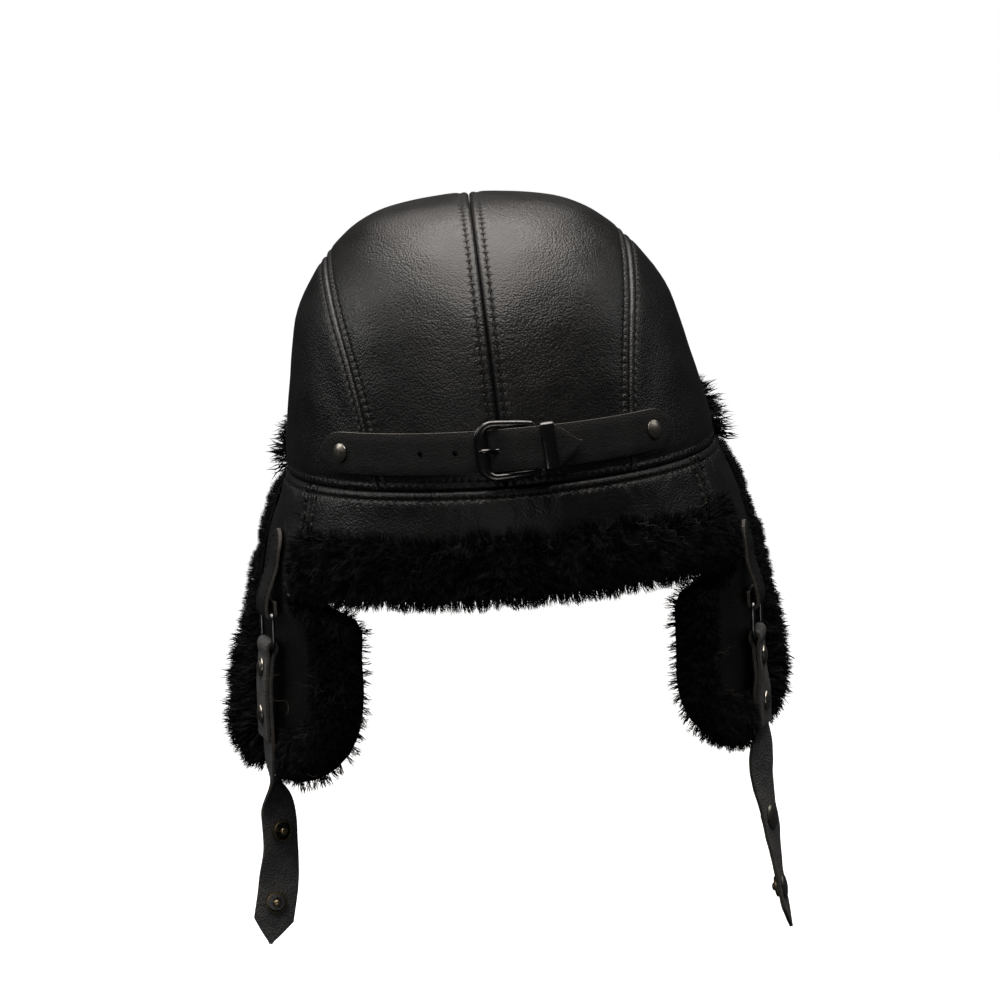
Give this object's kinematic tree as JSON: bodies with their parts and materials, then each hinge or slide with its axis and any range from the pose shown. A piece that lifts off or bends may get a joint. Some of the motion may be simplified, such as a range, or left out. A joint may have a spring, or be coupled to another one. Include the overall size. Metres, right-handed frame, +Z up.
{
  "type": "sheepskin aviator hat",
  "caption": "Black leather aviator hat lined with wool, brow flap up, ear and neck flaps down, with a buckled back strap and studded chin straps.",
  "frame": {"origin": "top of the head space, where the crown lining's inside is highest", "axes": "+Z up, -Y towards the brow, +Y towards the neck flap and the buckle, +X the wearer's left"},
  "size_m": [0.2831, 0.2804, 0.3771],
  "materials": {
    "smooth_leather": "satin",
    "wool": "matte",
    "strap_leather": "matte",
    "gunmetal": "polished",
    "nickel": "satin",
    "antique_brass": "satin"
  },
  "bodies": {
    "root": {"crown_centre_left": "smooth_leather", "crown_side_left": "smooth_leather", "crown_centre_right": "smooth_leather", "crown_side_right": "smooth_leather", "neck_flap": "smooth_leather", "ear_flap_left": "smooth_leather", "ear_flap_right": "smooth_leather", "brow_flap": "smooth_leather", "crown_lining": "wool", "neck_lining": "wool", "ear_lining_left": "wool", "ear_lining_right": "wool", "neck_fur": "wool", "ear_fur_left": "wool", "ear_fur_right": "wool", "brow_fur": "wool", "back_strap_long": "strap_leather", "back_strap_short": "strap_leather", "ear_tab_left": "strap_leather", "ear_tab_right": "strap_leather", "chin_strap_left": "strap_leather", "chin_strap_right": "strap_leather", "buckle_frame": "gunmetal", "buckle_prong": "gunmetal", "buckle_keeper": "gunmetal", "ring_left": "gunmetal", "ring_right": "gunmetal", "rivet_left": "nickel", "rivet_right": "nickel", "snap_left_1": "nickel", "snap_left_2": "nickel", "snap_right_1": "nickel", "snap_right_2": "nickel", "snap_left_3": "antique_brass", "snap_left_4": "antique_brass", "snap_right_3": "antique_brass", "snap_right_4": "antique_brass"}
  },
  "joints": []
}
